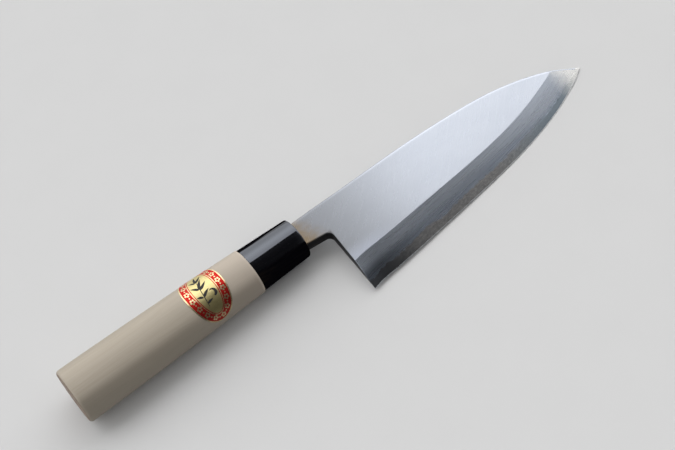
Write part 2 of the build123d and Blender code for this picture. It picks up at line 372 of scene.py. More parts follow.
# %% Sizes of the steel, in millimetres
neck_end, neck_start, heel_start, tip_x = 124.9, 142.9, 141.5, 303.6
neck_rise, neck_drop, neck_middle, neck_flare, notch_round = 6.8, 6.2, 0.3, 1.9, 3.0
spine_rise, blade_length, blade_height, heel_y, tip_y = 7.4, 160.7, 51.4, -43.995, -11.618
back_z, spine_thickness, ridge_thickness, tip_thickness = -3.8, 7.4, 5.05, 2.1
edge_land, bevel_width, bevel_belly = 0.15, 15.2, 0.11
heel_belly, heel_belly_run = 1.8, 45  # so many times more belly at the heel, and how far it runs
steel_thickness, steel_tip_thickness, steel_start = 1.9, 0.7, 139.9
hollow_depth, hollow_margin, ease, spine_ease = 0.45, 2.6, 0.3, 0.8
bevel_start, bevel_start_share, bevel_overrun, bevel_end_share = 140.1, 1.065, 4, 0.90
blade_shares = [
    (0.025, 0.000, 0.977, 1.033, 0.30), (0.075, -0.001, 0.963, 1.022, 0.85),
    (0.262, -0.012, 0.907, 1.00, 1.00), (0.449, -0.010, 0.844, 0.965, 1.00),
    (0.580, 0.008, 0.793, 0.952, 0.95), (0.692, 0.041, 0.732, 0.953, 0.85),
    (0.779, 0.092, 0.666, 0.963, 0.70), (0.853, 0.157, 0.593, 0.963, 0.50),
    (0.915, 0.232, 0.516, 0.947, 0.25), (0.966, 0.312, 0.440, 0.94, 0.00)]
row_x = [neck_start + row[0] * blade_length for row in blade_shares]
print("rows along the blade:", [round(x, 1) for x in row_x])

# %% [markdown]
# A natural cubic spline bends as a thin batten does when it is laid past pins. Its bends follow
# from one set of linear equations, so the curve is worked out here rather than drawn with a curve
# object, and the same lines can be asked for their height at any place.

# %% Smooth lines through read points
def smooth_line(points, steps=24):
    """Places on a natural cubic spline through points, its parameter the distance between them."""
    points = np.asarray(points, float)
    gaps = np.linalg.norm(np.diff(points, axis=0), axis=1)
    count = len(points)
    matrix, target = np.eye(count), np.zeros((count, 2))
    for i in range(1, count - 1):
        matrix[i, i - 1:i + 2] = gaps[i - 1], 2 * (gaps[i - 1] + gaps[i]), gaps[i]
        target[i] = 6 * ((points[i + 1] - points[i]) / gaps[i]
                         - (points[i] - points[i - 1]) / gaps[i - 1])
    bend = np.linalg.solve(matrix, target)
    line = []
    for i, gap in enumerate(gaps):
        for s in np.linspace(0, gap, steps, endpoint=False):
            a, b = gap - s, s
            line.append(bend[i] * a ** 3 / (6 * gap) + bend[i + 1] * b ** 3 / (6 * gap)
                        + (points[i] / gap - bend[i] * gap / 6) * a
                        + (points[i + 1] / gap - bend[i + 1] * gap / 6) * b)
    return np.array(line + [points[-1]])


def blade_line(column, start, end=(tip_x, tip_y)):
    """A smooth line through one column of the table, between two ends."""
    base, unit = (0, bevel_width) if column == 3 else (spine_rise, -blade_height)
    rows = [(x, base + row[column] * unit) for x, row in zip(row_x, blade_shares)]
    return smooth_line([start] + rows + [end])


spine_line = blade_line(1, (neck_start, spine_rise))
edge_line = blade_line(2, (heel_start, heel_y))
width_line = blade_line(3, (bevel_start, bevel_start_share * bevel_width),
                        (tip_x + bevel_overrun, bevel_end_share * bevel_width))
top_line = np.vstack([(neck_end, neck_rise), spine_line])
print("spine rises to", round(spine_line[:, 1].max(), 2),
      "and the edge falls to", round(edge_line[:, 1].min(), 2))

# %% [markdown]
# ## Heights over the blade
# The front flat is one plane through three points. The bevel rises from the thin land at the edge
# and meets that plane in the ridge. Stones leave it slightly bellied, most at the heel, which
# chops bones, and that belly shades it from the ridge down to the edge. The border between soft
# iron and hard steel is a plane too. All heights are counted from the flat back.

# %% The front, the bevel, the weld and the hollow, as heights
corner = np.array((neck_start, spine_rise, spine_thickness))
ridge_corner = np.array((neck_start, heel_y + bevel_width, ridge_thickness))
front_normal = np.cross(ridge_corner - corner, np.array((tip_x, tip_y, tip_thickness)) - corner)


def edge_at(x):
    return np.interp(x, *edge_line.T)


def spine_at(x):
    return np.interp(x, *top_line.T)


def width_at(x):
    return np.interp(x, *width_line.T)


def flat_height(x, y):
    """Height of the front flat above the back."""
    rise = (x - neck_start) * front_normal[0] + (y - spine_rise) * front_normal[1]
    return spine_thickness - rise / front_normal[2]


def bevel_slope(x):
    """How steeply the bevel rises from the land to the ridge."""
    return (flat_height(x, edge_at(x) + width_at(x)) - edge_land) / width_at(x)


def front_at(x, y):
    """Height of the ground front, on the flat or on the bevel."""
    if x < neck_start - notch_round or y > edge_at(x) + width_at(x):
        return flat_height(x, y)
    reach = max(y - edge_at(x), 0)
    part = reach / width_at(x)
    belly = bevel_belly * (1 + heel_belly * max(0, 1 - (x - heel_start) / heel_belly_run))
    return edge_land + bevel_slope(x) * reach + 4 * belly * part * (1 - part)


def weld_at(x):
    """Height of the border between the hard steel and the soft iron."""
    share = (x - neck_start) / blade_length
    return steel_thickness - (steel_thickness - steel_tip_thickness) * share


def hollow_at(x, y):
    """Depth of the hollow in the back, which fades out at both its ends."""
    low, high = edge_at(x) + hollow_margin, spine_at(x) - hollow_margin
    if x < row_x[0] or y <= low or y >= high:
        return 0.0
    share = np.interp(x, row_x, [0.0] + [row[4] for row in blade_shares[1:]])
    return share * hollow_depth * (1 - ((2 * y - low - high) / (high - low)) ** 2)


print("bevel's angle at the heel", round(degrees(atan(bevel_slope(150))), 1), "degrees")

# %% [markdown]
# ## Stations across the blade
# The blade is laid out like the planks of a boat: stations from the lower outline to the upper
# one, and rows that run lengthwise through them. Rows are placed where the shape changes: at the
# land, the weld, the ridge, the hollow's rim and close to the rounded borders. The neck uses the
# upper rows only, and its last stations fan out round the notch.

# %% The notch between the neck and the back end of the blade
notch_steps = 8
notch_corner = Vector((neck_start, -neck_drop - neck_flare))
to_heel = (Vector((heel_start, heel_y)) - notch_corner).normalized()
to_collar = (Vector((neck_end, -neck_drop)) - notch_corner).normalized()
half_angle = to_heel.angle(to_collar) / 2
run = notch_round / tan(half_angle)
arc_middle = notch_corner + notch_round / sin(half_angle) * (to_heel + to_collar).normalized()
first, last = (notch_corner + run * way - arc_middle for way in (to_collar, to_heel))
notch_arc = []
for step in range(notch_steps + 1):
    turn = -first.angle_signed(last) * step / notch_steps
    notch_arc.append(arc_middle + Vector((first.x * cos(turn) - first.y * sin(turn),
                                          first.x * sin(turn) + first.y * cos(turn))))
under_line = [(neck_end, -neck_drop)] + [tuple(p) for p in notch_arc] + [(heel_start, heel_y)]
print("notch from", notch_arc[0].to_tuple(2), "to", notch_arc[-1].to_tuple(2))

# %% [markdown]
# The heights of a station's rows come from two lists, below and above the row that passes the
# notch, so all stations have the same number of rows and their faces are quads.

# %% Rows from the edge to the spine
edge_steps = (0, 0.35, 1.2, hollow_margin)
above_notch_steps = (0, 0.03, 0.1, 0.2, 0.3, 0.42)
below_spine_steps = (0.8, 0.52, 0.31, 0.15, 0.04)
weld_rows, iron_rows, notch_rows, middle_rows = 3, 5, 3, 7
narrow = 10  # mm, where a zone is narrower than this its steps shrink with it
rim_share = 0.62  # of the flat, where the hollow's rim would be wider than that
least_weld, most_weld = 0.1, 0.8  # mm over the last edge step, and share of the bevel's height


def flat_rows(ridge, notch, top):
    """Rows from the notch's row to the spine, closer together at both rounded borders."""
    zone = top - ridge
    low, high = min(1, zone / narrow), min(1, zone)
    rows = [notch + low * step for step in above_notch_steps]
    rim = top - min(hollow_margin, rim_share * zone)
    rows += list(np.linspace(rows[-1], rim, middle_rows + 1)[1:])
    fine = [top - high * step for step in below_spine_steps] + [top]
    return rows + [(rim + fine[0]) / 2] + fine


def bevel_rows(bottom, weld, ridge, notch):
    """Rows from the edge to just under the notch's row."""
    zone = ridge - bottom
    scale = min(1, zone / narrow)
    rows = [bottom + scale * step for step in edge_steps]
    weld = min(max(weld, rows[-1] + least_weld * scale), bottom + most_weld * zone)
    rows += list(np.linspace(rows[-1], weld, weld_rows + 1)[1:])
    rows += list(np.linspace(weld, ridge, iron_rows + 1)[1:])
    return rows + list(np.linspace(ridge, notch, notch_rows + 2)[1:-1])


ridge_row = len(edge_steps) + weld_rows + iron_rows - 1
bevel_row_count = ridge_row + 1 + notch_rows
rim_row = bevel_row_count + len(above_notch_steps) + middle_rows - 1
row_count = rim_row + 1 + 1 + len(below_spine_steps) + 1
print(row_count, "rows, with the ridge at", ridge_row, "and the hollow's upper rim at", rim_row)

# %% [markdown]
# A station is a list of places, with none where the neck has no such row. The neck's stations
# stand close together at the collar's mouth, where the resin meets the iron, and in the notch. The
# blade's stations close up at the heel and towards the tip, where all rows run together.

# %% Lay out the stations
neck_places = (neck_end, 127, 128.5, 128.9, 129.3, 130, 131, 132.5, 134.5, 137, steel_start)
neck_reach = 35.0  # the neck's rows are spaced as if the ridge lay this far under its top
ways = [0, 0.0002, 0.0006, 0.0012, 0.0019, 0.0027] + list(np.linspace(0.0027, 0.90, 105)[1:])
ways += [1 - 0.1 * (1 - s) ** 1.5 for s in np.linspace(0, 1, 28)[1:]]
least_flat, flat_share = 1.0, 0.3  # the flat left above the ridge, where the bevel would pass it
least_notch, most_notch = 0.1, 0.55  # between which shares of the flat the notch's row stays
straighten = 12  # how fast the kink of the notch's row dies out
stations = []


def neck_station(low, high):
    """A station of the neck, from its underside to its top."""
    rows = flat_rows(high[1] - neck_reach, low[1], high[1])
    stations.append([None] * bevel_row_count
                    + [(np.interp(y, (low[1], high[1]), (low[0], high[0])), y) for y in rows])


for x in neck_places:
    share = (x - neck_end) / (neck_start - neck_end)
    neck_station((x, -neck_drop - neck_flare * share), (x, spine_at(x)))
step_station = len(stations) - 1
neck_station((steel_start, stations[-1][bevel_row_count][1]), (steel_start, spine_at(steel_start)))
for place in notch_arc[:-1]:
    share = (place.x - steel_start) / (notch_arc[-1].x - steel_start)
    x = steel_start + share * (neck_start - steel_start)
    neck_station(place, (x, spine_at(x)))
first_blade_station = len(stations)

notch_share = (notch_arc[-1].y - heel_y) / blade_height
kink = notch_arc[-1].x - (heel_start + (neck_start - heel_start) * notch_share)
for way in ways:
    low_x = heel_start + way * (tip_x - heel_start)
    top_x = neck_start + way * (tip_x - neck_start)
    bottom, top = edge_at(low_x), spine_at(top_x)
    height = top - bottom
    if height < 1e-6:
        stations.append([(tip_x, tip_y)] * row_count)
        continue
    ridge = min(bottom + width_at(low_x), top - min(least_flat, flat_share * height))
    weld = bottom + (weld_at(low_x) - edge_land) / bevel_slope(low_x)
    zone = top - ridge
    notch = min(max(bottom + notch_share * height, ridge + least_notch * zone),
                ridge + most_notch * zone)
    if way == 0:
        notch = notch_arc[-1].y
    notch_x = low_x + (top_x - low_x) * (notch - bottom) / height
    notch_x += kink * (1 - way) ** straighten
    levels = bevel_rows(bottom, weld, ridge, notch) + flat_rows(ridge, notch, top)
    stations.append([(np.interp(y, (bottom, notch, top), (low_x, notch_x, top_x)), y)
                     for y in levels])
print(len(stations), "stations of", row_count, "rows")

# %% [markdown]
# Real steel has no knife-sharp borders except at the edge. The neck and the choil are eased by a
# third of a millimetre and the spine by more, and a glint runs along them. The easing lowers the
# surface near the outline along a quarter circle, and runs out at the tip.

# %% Ease the borders and find all heights
ease_run, ease_left = 6, 0.2  # how far from the tip the spine's easing runs out, and to what share
most_eased = 0.4  # the share of the thickness that easing takes at most
neck_from_edge = 40.0  # what the neck and the tang are given as their distance from the edge


def distance_to(line, x, y):
    """Shortest distance from a place to a line of points."""
    line = np.asarray(line)
    start, run = line[:-1], np.diff(line, axis=0)
    share = np.clip(((np.array((x, y)) - start) * run).sum(1) / (run ** 2).sum(1), 0, 1)
    return np.min(np.linalg.norm(start + share[:, None] * run - (x, y), axis=1))


def eased(x, y, thickness):
    """How far the surface is lowered near the outline."""
    drop = 0.0
    spine_radius = spine_ease * min(1.0, ease_left + (tip_x - x) / ease_run)
    for line, radius in ((under_line, ease), (top_line, spine_radius)):
        near = distance_to(line, x, y)
        if near < radius:
            dip = radius - sqrt(radius ** 2 - (radius - near) ** 2)
            drop = max(drop, dip * min(1.0, most_eased * thickness / radius))
    return drop


heights = {}  # for each station and row: front, weld, back and distance from the edge
for i, station in enumerate(stations):
    for j, place in enumerate(station):
        if place is None:
            continue
        x, y = place
        front, on_blade = front_at(x, y), i >= first_blade_station
        drop = eased(x, y, front)
        heights[i, j] = (front - drop, weld_at(x), (hollow_at(x, y) if on_blade else 0.0) + drop,
                         y - edge_at(x) if on_blade else neck_from_edge)
print("thickest", round(max(h[0] for h in heights.values()), 2), "mm")

# %% [markdown]
# ## Closed meshes from points
# All pieces are made the same way: from points on the knife and faces between them. Points that
# fall together merge, faces that lose all their area are left out, and the count of open edges,
# which has to be nought, is printed. Edges that bend strongly are marked sharp, and the rest shade
# smoothly.

# %% Build meshes from points on the knife
def merge_places(places):
    """Points that fall together become one. Gives the kept points and the new number of each."""
    keys, kept, number = {}, [], []
    for place in places:
        key = tuple(round(c, 4) for c in place)
        if key not in keys:
            keys[key] = len(kept)
            kept.append(place)
        number.append(keys[key])
    return kept, number


def make_piece(name, places, faces, finishes, face_finish=None, sharp=(), values=None, soften=32):
    """A closed mesh object from points on the knife, with a finish number for each face."""
    kept, number = merge_places(places)
    good, good_finish = [], []
    for k, face in enumerate(faces):
        ring = [number[v] for v in face]
        ring = [v for n, v in enumerate(ring) if v != ring[n - 1]]
        if len(set(ring)) >= 3 and len(set(ring)) == len(ring):
            good.append(ring)
            good_finish.append(face_finish[k] if face_finish else 0)
    mesh = bpy.data.meshes.new(name)
    mesh.from_pydata([tuple(p) for p in to_frame(kept)], [], good)
    for finish in finishes:
        mesh.materials.append(finish)
    mesh.polygons.foreach_set("material_index", good_finish)
    mesh.polygons.foreach_set("use_smooth", [True] * len(good))
    shape = bmesh.new()
    shape.from_mesh(mesh)
    bmesh.ops.recalc_face_normals(shape, faces=shape.faces)
    open_edges = sum(1 for edge in shape.edges if len(edge.link_faces) != 2)
    crisp = {frozenset((number[a], number[b])) for a, b in sharp}
    for edge in shape.edges:
        ends = frozenset((edge.verts[0].index, edge.verts[1].index))
        bent = len(edge.link_faces) == 2 and edge.calc_face_angle(0) > radians(soften)
        edge.smooth = not (bent or ends in crisp)
    shape.to_mesh(mesh)
    shape.free()
    for key, numbers in (values or {}).items():
        merged = np.zeros(len(kept), np.float32)
        merged[number] = numbers
        mesh.attributes.new(key, "FLOAT", "POINT").data.foreach_set("value", merged)
    piece = bpy.data.objects.new(name, mesh)
    bpy.context.scene.collection.objects.link(piece)
    print(name, "has", len(mesh.polygons), "faces and", open_edges, "open edges")
    return piece


print("pieces are placed from", np.round(to_frame((0, 0, 0))[0], 4), "in the frame")

# %% [markdown]
# Both steels are shells over the stations. The upper skin is a grid of quads, the lower skin is
# the same grid turned over, and walls close the border. Where the underside of the iron steps up
# to make room for the hard steel, the walls beside the step get the extra point of the step.

# %% The shell between two skins of the blade
closed_up = 2e-4  # mm, where the two skins count as one


def steel_shell(first_station, upper, lower, finish_of, step=None):
    """Points, faces, finishes, sharp edges and values of a shell between two heights."""
    places, faces, face_finish, sharp, reach = [], [], [], [], []
    top, low = {}, {}
    for (i, j), here in heights.items():
        if i >= first_station:
            for skin, height in ((top, upper(i, here)), (low, lower(i, here))):
                skin[i, j] = len(places)
                places.append((*stations[i][j], back_z + height))
                reach.append(here[3])

    border = {}
    for i, j in top:
        ring = [(i, j), (i + 1, j), (i + 1, j + 1), (i, j + 1)]
        if not all(c in top for c in ring):
            continue
        if all(places[top[c]][2] - places[low[c]][2] <= closed_up for c in ring):
            continue
        faces += [[top[c] for c in ring], [low[c] for c in reversed(ring)]]
        face_finish += [finish_of("top", i, j), finish_of("low", i, j)]
        for a, b in zip(ring, ring[1:] + ring[:1]):
            if (b, a) in border:
                del border[b, a]
            else:
                border[a, b] = True
        if j == ridge_row:
            sharp.append((top[ring[0]], top[ring[1]]))

    for a, b in border:
        wall = [top[b], top[a], low[a], low[b]]
        if step is not None and {a[0], b[0]} == {step - 1, step}:
            beyond = (step + 1, a[1])
            extra = [low[beyond]]
            wall = ([top[b], top[a]] + (extra if a[0] == step else []) + [low[a], low[b]]
                    + (extra if b[0] == step else []))
        if step is not None and {a[0], b[0]} == {step, step + 1}:
            continue
        faces.append(wall)
        face_finish.append(finish_of("wall", *a))
    return places, faces, face_finish, sharp, {"from_edge": reach}


print("a shell has up to", 2 * len(heights), "points")

# %% [markdown]
# ## The soft iron
# The soft iron is most of the knife: the front flat, the upper bevel, the neck, and the tang that
# is hidden in the handle. Its underside steps up where the hard steel begins. The tang is a plain
# tapering bar that starts inside the neck.

# %% Make the soft iron
tang_ends = ((30.9, 3.0, 1.7), (125.7, 5.3, 3.0))  # place, half height and half thickness


def iron_finish(skin, i, j):
    if skin == "top":
        return 1 if j < ridge_row else 0
    return 2 if j == row_count - 1 else 3


places, faces, face_finish, sharp, values = steel_shell(
    0, lambda i, h: h[0], lambda i, h: h[2] if i <= step_station else min(h[1], h[0]),
    iron_finish, step_station)
start = len(places)
for x, half_height, half_thickness in tang_ends:
    places += [(x, neck_middle + a * half_height, b * half_thickness)
               for a, b in ((-1, -1), (1, -1), (1, 1), (-1, 1))]
values["from_edge"] += [neck_from_edge] * 8
for ring in ((0, 1, 2, 3), (4, 5, 6, 7), (0, 1, 5, 4), (1, 2, 6, 5), (2, 3, 7, 6), (3, 0, 4, 7)):
    faces.append([start + v for v in ring])
    face_finish.append(2)
soft_iron = make_piece("soft_iron", places, faces,
                       [satin_iron, stoned_bevel, belt_ground, painted_shade_sides],
                       face_finish, sharp, values)

# %% [markdown]
# ## The hard steel
# The hard steel is the lower layer, welded under the iron. It shows along the edge of the front
# and on the whole back, which is ground hollow so that only a narrow rim touches the stone. It is
# the same kind of shell, and it shares its stations with the iron, so both meet without a gap.

# %% Make the hard steel
heel_rim = 6  # so many stations at the blade's back end belong to the flat rim


def steel_finish(skin, i, j):
    if skin == "top":
        return 1 if j < 1 else 0
    if skin == "low":
        inside = len(edge_steps) - 1 <= j < rim_row and i >= first_blade_station + heel_rim
        return 3 if inside else 4
    return 1 if j == 0 else 2 if j == row_count - 1 else 5


places, faces, face_finish, sharp, values = steel_shell(
    step_station + 1, lambda i, h: min(h[1], h[0]), lambda i, h: h[2], steel_finish)
hard_steel = make_piece("hard_steel", places, faces,
                        [stoned_bevel, honed_edge, belt_ground, hollow_ground, stoned_rim,
                         painted_shade_sides], face_finish, sharp, values)

# %% [markdown]
# ## The handle
# The wood is turned and shaved to an oval that is thicker at the butt and swells a little in the
# middle. It could be a cylinder with a lattice, but rings of points follow the sizes exactly. One
# profile runs from the middle of the butt, over its rounded border, along the grip, over the
# shoulder, along the tenon inside the collar and back into the hole for the tang.

# %% Ovals along the handle
collar_start, collar_length, tenon_end, hole_start, grip_middle = 100.3, 28.6, 128.6, 27.9, 49.6
butt_round, shoulder_round, collar_rise = 1.8, 0.3, 0.5
tenon_half_height, tenon_half_thickness = 9.05, 7.85
points_round, grip_rings, butt_steps, shoulder_steps = 144, 62, 8, 4
ovals = ((butt, 0.0, 14.85, 11.55), (grip_middle, grip_rise, 14.05, 11.275),
         (collar_start, collar_rise, 12.55, 10.3))


def oval_at(x):
    """Rise, half height and half thickness of the wood, on a parabola through the three ovals."""
    shares = [np.prod([(x - other[0]) / (oval[0] - other[0]) for other in ovals if other != oval])
              for oval in ovals]
    return [sum(oval[column] * share for oval, share in zip(ovals, shares))
            for column in (1, 2, 3)]


def oval_ring(x, rise, half_height, half_thickness, angles):
    """Points round an oval across the handle."""
    return [(x, rise + half_height * cos(a), half_thickness * sin(a)) for a in angles]


def polygon_ring(x, corners, middle, angles):
    """Points on a polygon across the handle, one on each ray from its middle."""
    ring = []
    for a in angles:
        ray, best = Vector((cos(a), sin(a))), None
        for p, q in zip(corners, corners[1:] + corners[:1]):
            p, q = Vector(p) - Vector(middle), Vector(q) - Vector(middle)
            side = q - p
            bottom = ray.cross(side)
            if abs(bottom) > 1e-12:
                far, share = p.cross(side) / bottom, p.cross(ray) / bottom
                if far > 0 and -1e-9 <= share <= 1 + 1e-9:
                    best = far if best is None else min(best, far)
        ring.append((x, middle[0] + best * ray.x, middle[1] + best * ray.y))
    return ring


print("half way along the grip:", [round(c, 2) for c in oval_at(grip_middle)])

# %% [markdown]
# The hole for the tang has four corners, so their directions are added to the even spacing round
# the oval, and the rings of the oval and of the hole still have the same number of points.

# %% Directions round the handle
def box_corners(height, thickness):
    """The four corners of the tang's hole, round the middle of the neck."""
    return [(neck_middle + a * height / 2, b * thickness / 2)
            for a, b in ((1, 1), (-1, 1), (-1, -1), (1, -1))]


def angles_with(corners, middle, count):
    """Even directions round an oval, with the directions of the given corners among them."""
    angles = [2 * pi * n / count for n in range(count)]
    for place in corners:
        angle = atan2(place[1] - middle[1], place[0] - middle[0]) % (2 * pi)
        angles[min(range(count), key=lambda n: abs(angles[n] - angle))] = angle
    return angles


mouth, hole_root, hole_end = box_corners(13.8, 8.2), box_corners(11.1, 6.5), box_corners(6.5, 3.9)
round_angles = angles_with(mouth + hole_root + hole_end, (neck_middle, 0), points_round)
print("the mouth of the hole has its corners at", [(round(y, 2), z) for y, z in mouth])

# %% [markdown]
# The rings follow one another along the profile, and a fan of triangles closes the butt and the
# bottom of the hole. Rings stand close together only where the profile turns.

# %% Lay out the handle's rings
def rounded_run(start_x, radius, forward, steps):
    """Place along the handle and inset of a quarter-round border, from end face to side."""
    for step in range(steps + 1):
        angle = pi / 2 * step / steps
        yield start_x + forward * radius * (1 - cos(angle)), radius * (1 - sin(angle))


def wood_ring(x, inset=0.0):
    """A ring on the wood, or a little inside it."""
    rise, tall, thick = oval_at(x)
    return oval_ring(x, rise, tall - inset, thick - inset, round_angles)


def skin_rings(rings, first_pole=None, last_pole=None, closed=False):
    """Points and quads over equal rings, with fans to the poles or the last ring joined on."""
    count = len(rings[0])
    places = [place for ring in rings for place in ring]
    faces = []
    for r in range(len(rings) if closed else len(rings) - 1):
        here, there = r * count, (r + 1) % len(rings) * count
        faces += [[here + n, here + (n + 1) % count, there + (n + 1) % count, there + n]
                  for n in range(count)]
    for pole, r in ((first_pole, 0), (last_pole, len(rings) - 1)):
        if pole is not None:
            places.append(pole)
            faces += [[r * count + n, r * count + (n + 1) % count, len(places) - 1]
                      for n in range(count)]
    return places, faces


rise, tall, thick = oval_at(butt)
rings = [oval_ring(butt, rise, share * (tall - butt_round), share * (thick - butt_round),
                   round_angles) for share in (0.25, 0.5, 0.75, 0.9)]
rings += [wood_ring(x, inset) for x, inset in rounded_run(butt, butt_round, 1, butt_steps)]
rings += [wood_ring(x) for x in
          np.linspace(butt + butt_round, collar_start - shoulder_round, grip_rings)[1:-1]]
rings += [wood_ring(x, inset) for x, inset in
          reversed(list(rounded_run(collar_start, shoulder_round, -1, shoulder_steps)))]
rings += [oval_ring(x, collar_rise, tenon_half_height, tenon_half_thickness, round_angles)
          for x in (collar_start, 110, 120, tenon_end)]
rings += [polygon_ring(x, corners, (neck_middle, 0), round_angles) for x, corners in
          ((tenon_end, mouth), (neck_end, mouth), (neck_end, hole_root), (hole_start, hole_end))]
handle_places, handle_faces = skin_rings(rings, (butt, 0, 0), (hole_start, neck_middle, 0))
print("handle:", len(rings), "rings of", len(round_angles), "points")

# %% [markdown]
# ## Magnolia wood
# Magnolia is pale, soft and close-grained, left bare. Its grain runs along the handle as faint,
# wavy bands, with short dark pores between them. A knife maker cuts the blank so that the rings
# stand across the oval, so the bands are flat sheets bent by noise. End grain at the butt is
# darker. Painted shade darkens the narrow flanks, below and above, and the shoulder's rim is
# rubbed paler.

# %% Finish of the wood
magnolia, tree, shader = start_finish("magnolia wood")
places = knife_millimetres(tree)
along, across, outward = split_places(places)
drift = streaks(places, (85, 14, 14), 3) * 9.0
year = ((across * 0.75 + outward * 0.38 + drift) * 2.2).math("SINE")
fibres = streaks(places, (22, 0.40, 0.40), 5)
pores = streaks(places, (3.5, 0.20, 0.20), 2)
broad = streaks(places, (110, 10, 10), 3)
end_rings = streaks(places, (1.0, 0.8, 0.8), 4)
end_wood = paint((0.150, 0.105, 0.075), (end_rings.fade(0.35, 0.65), (0.255, 0.190, 0.140)))
wood = paint(
    (0.390, 0.342, 0.277),
    (fibres.fade(0.30, 0.72), (0.424, 0.372, 0.304)),
    (year.fade(0.2, 1.0, 0.0, 0.12), (0.330, 0.275, 0.208)),
    (broad.fade(0.35, 0.65, 0.0, 0.30), (0.413, 0.369, 0.299)),
    (pores.fade(0.64, 0.78, 0.0, 0.20), (0.225, 0.170, 0.118)),
    (along.fade(55, 102, 0.0, 0.60), (0.500, 0.430, 0.363)),
    # painted shade on the lower and the upper flank
    (across.fade(-5.5, -10.5, 0.0, 0.45), (0.110, 0.095, 0.072)),
    (across.fade(7.0, 13.5, 0.0, 0.33), (0.110, 0.095, 0.072)),
    (along.fade(98.7, 100.2, 0.0, 0.5), (0.58, 0.51, 0.43)),  # the rubbed rim
    (along.fade(butt + 0.6, butt + 0.1), end_wood))
coat(shader, wood, fibres.fade(0.3, 0.7, 0.50, 0.62), fibres - pores.fade(0.62, 0.8) * 0.8, 0.25,
     0.00005, Specular_IOR_Level=0.35)
handle = make_piece("wooden_handle", handle_places, handle_faces, [magnolia])

# %% [markdown]
# ## The collar
# The collar is a ring of buffalo horn that keeps the wood from splitting. Its shape follows a
# rule: an oval path, a wall with rounded borders, and a taper from the wood to the blade. That
# makes it a good piece for Geometry Nodes. A profile of the wall is swept round the path, and Set
# Position puts each point between the bore and the tapering outside. The sizes are inputs of the
# tree.

# %% Helpers for a Geometry Nodes tree
def start_tree(name, sizes):
    """A geometry tree with an input for each size. Gives the tree and its inputs as values."""
    tree = bpy.data.node_groups.new(name, "GeometryNodeTree")
    tree.interface.new_socket("Geometry", in_out="OUTPUT", socket_type="NodeSocketGeometry")
    for label, size in sizes.items():
        kind = "NodeSocketInt" if isinstance(size, int) else "NodeSocketFloat"
        tree.interface.new_socket(label, in_out="INPUT", socket_type=kind)
    entry = tree.nodes.new("NodeGroupInput")
    return tree, {s.name: Value(s) for s in entry.outputs if s.name}


def grow(name, tree, shape, material, sizes):
    """Ends a tree in Realize Instances and Set Material, and gives the mesh that it makes."""
    real = get(tree, "GeometryNodeRealizeInstances", "Geometry", Geometry=shape)
    dressed = get(tree, "GeometryNodeSetMaterial", "Geometry", Geometry=real, Material=material)
    plug(tree.nodes.new("NodeGroupOutput").inputs["Geometry"], dressed)
    holder = bpy.data.objects.new(name, bpy.data.meshes.new(name))
    modifier = holder.modifiers.new(name, "NODES")
    modifier.node_group = tree
    for item in tree.interface.items_tree:
        if item.in_out == "INPUT":
            modifier[item.identifier] = sizes[item.name]
    bpy.context.scene.collection.objects.link(holder)
    depsgraph = bpy.context.evaluated_depsgraph_get()
    made = bpy.data.meshes.new_from_object(holder.evaluated_get(depsgraph))
    holder.modifiers.clear()
    bpy.data.objects.remove(holder)
    print(name, "tree of", len(tree.nodes), "nodes made", len(made.vertices), "points")
    return made


collar_sizes = {
    "Start": collar_start, "Length": collar_length, "Rise": collar_rise,
    "Rear Half Height": 12.15, "Rear Half Thickness": 9.9,
    "Front Half Height": 10.95, "Front Half Thickness": 9.75,
    "Bore Half Height": 9.15, "Bore Half Thickness": 7.95,
    "Wall": 1.8, "Rear Round": 0.25, "Front Round": 0.9, "Bore Round": 0.12,
    "Points Round": points_round, "Steps Of Each Round": 7, "Cuts Of Each Edge": 3}
print("the collar's tree has", len(collar_sizes), "inputs")

# %% [markdown]
# ## Black horn
# Polished horn is almost black, with a deep gloss. Close up it has fine fibres along its length
# and a few paler clouds. The broad faces mirror the light; on the narrow sides and the lower half
# the reflection is turned down as painted shade. Roughness varies a little where the horn was
# handled.

# %% Finish of the horn
black_horn, tree, shader = start_finish("black horn")
places = knife_millimetres(tree)
_, across, _ = split_places(places)
horn_fibres = streaks(places, (13, 0.4, 0.4), 4)
horn_clouds = streaks(places, (16, 4.5, 4.5), 3)
rubs = streaks(places, (2.0, 1.1, 1.1), 5)
horn = paint((0.0020, 0.0020, 0.0030),
             (horn_fibres.fade(0.4, 0.75), (0.0055, 0.0050, 0.0060)),
             (horn_clouds.fade(0.58, 0.80, 0.0, 0.7), (0.012, 0.009, 0.007)))
coat(shader, horn, rubs.fade(0.35, 0.75, 0.05, 0.12), horn_fibres, 0.08, IOR=2.05,
     Specular_Tint=(0.83, 0.885, 1.0, 1))
# painted shade: the reflection fades out on the narrow sides and is cut on the lower half
flank_shade_gloss = (abs(across - collar_rise) + (horn_clouds - 0.5) * 1.5).fade(6.85, 7.35, 0.5, 0.0)
plug(shader.inputs["Specular IOR Level"], flank_shade_gloss * across.fade(-1.8, -4.0, 1.0, 0.45))
print(black_horn.name, "has", len(tree.nodes), "nodes")

# %% [markdown]
# The tree sweeps the wall's section round a plain circle. Both curves remember their own places in
# a captured attribute, so that each point of the swept mesh still knows how far round, how far
# along and how far through the wall it lies, and can be put there.

# %% The tree of the collar
def remember(tree, shape, name, what):
    """Captures a vector on the points of a shape. Gives the shape and the vector."""
    node = add_node(tree, "GeometryNodeCaptureAttribute", {"domain": "POINT"})
    node.capture_items.new("VECTOR", name)
    plug(node.inputs["Geometry"], shape)
    plug(node.inputs[1], what)
    return Value(node.outputs["Geometry"]), Value(node.outputs[1])


def between(first, second, part):
    """A size between two others."""
    return first + (second - first) * part


tree, given = start_tree("horn collar", collar_sizes)
circle = get(tree, "GeometryNodeCurvePrimitiveCircle", "Curve", Resolution=given["Points Round"])
position = get(tree, "GeometryNodeInputPosition", "Position")
path, way_round = remember(tree, circle, "direction", position)

